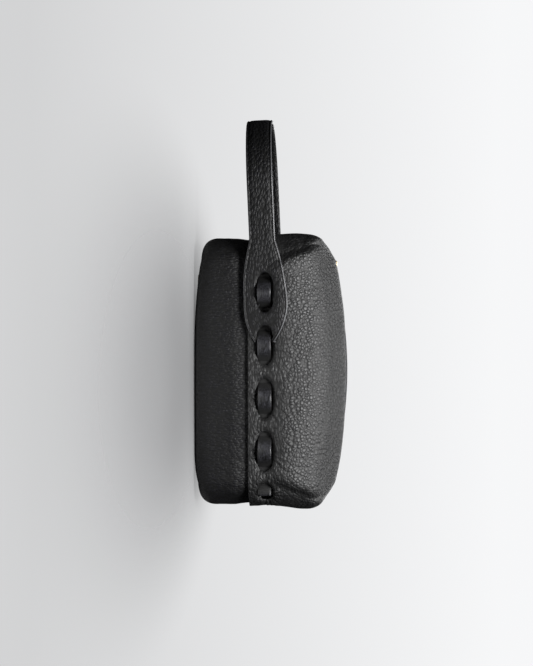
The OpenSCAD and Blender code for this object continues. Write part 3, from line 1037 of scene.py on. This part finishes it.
def ring_plate(outer, inner, low, high):
    """A flat plate with a hole, from two outlines that have the same number of points."""
    n = len(outer)
    points = [(x, y, z) for z in (low, high) for edge in (outer, inner) for x, y in edge]
    faces = []
    for i in range(n):
        j = (i + 1) % n
        faces += [(i, i + n, j + n, j), (2 * n + i, 2 * n + j, 3 * n + j, 3 * n + i),
                  (i, j, 2 * n + j, 2 * n + i), (n + j, n + i, 3 * n + i, 3 * n + j)]
    return np.array(points, float), faces


def rounded_box(x0, x1, half_y, power=5.0, count=32):
    """Outline of a rounded rectangle."""
    t = np.linspace(0, 2 * math.pi, count, endpoint=False)
    c, s = np.cos(t), np.sin(t)
    return np.stack([(x0 + x1) / 2 + (x1 - x0) / 2 * np.sign(c) * np.abs(c) ** (2 / power),
                     half_y * np.sign(s) * np.abs(s) ** (2 / power)], -1)


def joined(parts):
    points, faces = [], []
    for p, f in parts:
        start = sum(len(q) for q in points)
        points.append(p)
        faces += [tuple(k + start for k in face) for face in f]
    return np.vstack(points), faces


def metal_piece(name, parts, place, body, node, bevel=0.22):
    points, faces = joined(parts)
    obj = new_mesh(name, place(points), faces, [GOLD])
    round_edges(obj, bevel, 35, 3)
    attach(obj, body)
    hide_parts(node)


def arch_strip(x0, x1, low, high, thick, half_y):
    """A narrow bridge that springs from x0 and lands at x1."""
    t = np.linspace(0, math.pi, 17)
    middle, reach = (x0 + x1) / 2, (x1 - x0) / 2
    outer = np.stack([middle - reach * np.cos(t), low + (high - low) * np.sin(t) ** 0.7], -1)
    inner = np.stack([middle - (reach - thick) * np.cos(t),
                      low + (high - low - thick) * np.sin(t) ** 0.7], -1)
    points, faces = [], []
    for (ox, oz), (ix, iz) in zip(outer, inner):
        points += [(ox, -half_y, oz), (ox, half_y, oz), (ix, half_y, iz), (ix, -half_y, iz)]
    for i in range(len(t) - 1):
        for j in range(4):
            a, b = i * 4 + j, i * 4 + (j + 1) % 4
            faces.append((a, a + 4, b + 4, b))
    faces += [(0, 1, 2, 3), tuple(4 * (len(t) - 1) + k for k in (3, 2, 1, 0))]
    return np.array(points, float), faces


def build_slider():
    front = [(-5.5, -2.6), (-5.0, -3.5), (-4.0, -4.0), (-2.0, -4.0), (0.5, -3.7), (3.0, -3.4), (4.8, -3.2),
             (5.5, -2.4)]
    shield = front + [(x, -y) for x, y in front[::-1]]
    notch = [(-5.5, -0.3), (-4.4, 0), (-5.5, 0.3)]
    top = slab(shield + notch[::-1], -0.3, 0.8)
    foot = slab(shield + notch[::-1], -5.3, -4.2)
    post = slab(rounded_box(-5.2, -1.6, 0.45, count=20), -4.3, -0.2)
    parts = [top, foot, post]
    for side in (-1, 1):
        for low, high in ((-2.2, -0.2), (-4.3, -4.1)):
            wall = rounded_box(-4.2, 4.6, 0.36, 8, 24) + np.array([0, side * 3.3])
            parts.append(slab(wall, low, high))
    metal_piece("slider", parts, lambda p: at_zip(p, SLIDER_TURN), "slider", "slider_body", 0.3)
    crown = arch_strip(0.4, 5.3, 0.7, 0.8 + CROWN_RISE, 0.85, 0.8)
    metal_piece("crown", [crown], lambda p: at_zip(p, SLIDER_TURN), "slider", "slider_crown", 0.2)


def build_pull():
    eye = ring_plate(rounded_box(-0.75, 4.6, 2.5, 6), rounded_box(0.55, 3.3, 1.5, 6), -0.55, 0.55)
    blade = ring_plate(rounded_box(4.0, 14.0, 2.5, 4), rounded_box(10.4, 12.4, 1.0, 2), -0.6, 0.6)
    ridge = [slab(rounded_box(5.0, 9.4, 1.3, 3), -0.75, 0.75)]
    metal_piece("pull", [eye, blade] + ridge, lambda p: turned(p, SLIDER_TURN + PULL_DROOP, BAR), "pull",
                "zip_pull", 0.25)


def build_stops():
    template, faces = tooth_template()
    ends = math.asin(95.5 / ZIP_R)  # both stops stand this far along the dome
    clamp = template * np.array([1.7, 1.0, 1.1]) + np.array([0, 0.2, -2.3])
    tops = copies(clamp, faces, [(0.0, 0.0, side) for side in (-1, 1)])
    metal_piece("stops_top", [tops], lambda p: at_zip(p, -ends), "bag", "top_stops", 0.12)
    bar = slab(rounded_box(-1.0, 1.0, 2.6, 5), -3.9, -0.7)
    groove = slab(rounded_box(-1.15, 1.15, 0.5, 4), -3.9, -0.9)
    metal_piece("stop_bottom", [bar, groove], lambda p: at_zip(p, ends), "bag", "bottom_stop", 0.2)


for half in (-1, 1):
    build_upper(half)
    build_lace(half)
    build_tape(half)
    build_teeth(half)
    build_stitching(half)
build_base()
build_lining()
build_strap()
build_slider()
build_pull()
build_stops()

for node, material in (("base_board", BOARD), ("end_seam_tape_near_loop", LINING),
                       ("end_seam_tape_far", LINING)):
    mesh = frame["nodes"][node].data
    mesh.materials.clear()
    mesh.materials.append(material)

# ---- Stage ----

BACKDROP = (0.66, 0.94)  # brightness that the camera sees, low down and high up
AMBIENT = 0.16  # brightness that lights the bag
FLOOR_LIT = (0.55, 0.55, 0.55)  # the floor's colour, as it throws light back
FLOOR_SEEN_PAINTED_SHADOW = (0.135, 0.136, 0.138)  # and as the camera sees it: darker, a painted shadow pool round the bag
PAINTED_SHADOW_FADE = (0.1, 0.65)  # metres from its middle, which lies off the bag's front, over which the painted shadow fades to clear
PICTURE_LENGTH = 666 * 0.77  # millimetres along the picture's long side


def build_floor():
    rings, sides = 40, 96
    points, faces = [(0, 0, 0)], []
    for i in range(1, rings + 1):
        r = 6000 * (i / rings) ** 2
        points += [(r * math.cos(a), r * math.sin(a), 0)
                   for a in np.linspace(0, 2 * math.pi, sides, endpoint=False)]
    for j in range(sides):
        faces.append((0, 1 + j, 1 + (j + 1) % sides))
    for i in range(rings - 1):
        for j in range(sides):
            a, b = 1 + i * sides + j, 1 + i * sides + (j + 1) % sides
            faces.append((a, a + sides, b + sides, b))
    n = Nodes("floor")
    n.shader.inputs["Roughness"].default_value = 0.9
    # Painted shadow: the camera sees the floor darker than the light it throws back, in an oval off the
    # bag's front that fades to clear.
    ray = n.add("ShaderNodeLightPath")
    tone = n.blend_colours(ray.outputs["Is Camera Ray"], FLOOR_LIT, FLOOR_SEEN_PAINTED_SHADOW)
    n.link(tone, n.shader.inputs["Base Color"])
    where = n.add("ShaderNodeTexCoord")
    oval = n.add("ShaderNodeVectorMath", operation="MULTIPLY")
    n.link(where.outputs["Object"], oval.inputs[0])
    oval.inputs[1].default_value = (3.4, 1, 1)
    length = n.add("ShaderNodeVectorMath", operation="DISTANCE")
    n.link(oval.outputs["Vector"], length.inputs[0])
    length.inputs[1].default_value = (0, -0.25, 0)
    painted_shadow_clearing = n.remap(length.outputs["Value"], *PAINTED_SHADOW_FADE)
    clear = n.add("ShaderNodeBsdfTransparent")
    mix = n.add("ShaderNodeMixShader")
    n.link(painted_shadow_clearing, mix.inputs[0])
    n.link(n.shader.outputs[0], mix.inputs[1])
    n.link(clear.outputs[0], mix.inputs[2])
    n.link(mix.outputs[0], n.tree.nodes["Material Output"].inputs["Surface"])
    new_mesh("floor", points, faces, [n.material])


def area_light(name, place, target, size, power):
    light = bpy.data.lights.new(name, "AREA")
    light.shape = "RECTANGLE"
    light.size, light.size_y = size
    light.energy = power
    obj = add_object(name, light)
    obj.location = place
    obj.rotation_mode = "QUATERNION"
    obj.rotation_quaternion = (Vector(target) - Vector(place)).to_track_quat("-Z", "Y")


def build_world():
    world = bpy.data.worlds.new("studio")
    bpy.context.scene.world = world
    world.use_nodes = True
    tree = world.node_tree
    seen = tree.nodes["Background"]
    seen.inputs["Color"].default_value = (0.985, 0.99, 1.0, 1)
    lit = tree.nodes.new("ShaderNodeBackground")
    lit.inputs["Color"].default_value = (0.93, 0.96, 1.0, 1)
    where = tree.nodes.new("ShaderNodeTexCoord")
    split = tree.nodes.new("ShaderNodeSeparateXYZ")
    tree.links.new(where.outputs["Generated"], split.inputs[0])
    for shader, low, high, dim, bright in ((lit, -0.1, 1.0, 0.01, AMBIENT),
                                           (seen, -0.17, 0.065, *BACKDROP)):
        height = tree.nodes.new("ShaderNodeMapRange")
        for key, value in zip(("From Min", "From Max", "To Min", "To Max"), (low, high, dim, bright)):
            height.inputs[key].default_value = value
        tree.links.new(split.outputs["Z"], height.inputs["Value"])
        tree.links.new(height.outputs["Result"], shader.inputs["Strength"])
    ray = tree.nodes.new("ShaderNodeLightPath")
    mix = tree.nodes.new("ShaderNodeMixShader")
    tree.links.new(ray.outputs["Is Camera Ray"], mix.inputs[0])
    tree.links.new(lit.outputs[0], mix.inputs[1])
    tree.links.new(seen.outputs[0], mix.inputs[2])
    tree.links.new(mix.outputs[0], tree.nodes["World Output"].inputs["Surface"])


def build_camera():
    """Looks at the front from a little above, with the bag's length up the picture."""
    distance = 1500.0
    tilt = math.radians(3.0)
    middle = np.array([-29.3, -HALF_W, 57.0])
    camera = bpy.data.cameras.new("camera")
    camera.sensor_width = 36.0
    camera.lens = 36.0 * distance / PICTURE_LENGTH
    camera.clip_end = 50.0
    obj = add_object("camera", camera)
    back = Vector((0, -math.cos(tilt), math.sin(tilt)))
    up = Vector((-1, 0, 0))
    right = up.cross(back)
    spot = Vector(middle * MM) + back * distance * MM
    turn = Matrix((right, up, back)).transposed().to_4x4()
    obj.matrix_world = Matrix.Translation(spot) @ turn
    bpy.context.scene.camera = obj


build_floor()
build_world()
area_light("key", (0, -0.85, 1.05), (0, 0, 0.06), (0.6, 0.45), 33)
area_light("back", (0, 1.5, 0.7), (0, 0, 0.04), (1.2, 0.6), 9)
area_light("top", (0, 0.15, 1.3), (0, 0, 0.06), (1.2, 0.8), 12)
build_camera()
bpy.context.scene.view_settings.view_transform = "Standard"
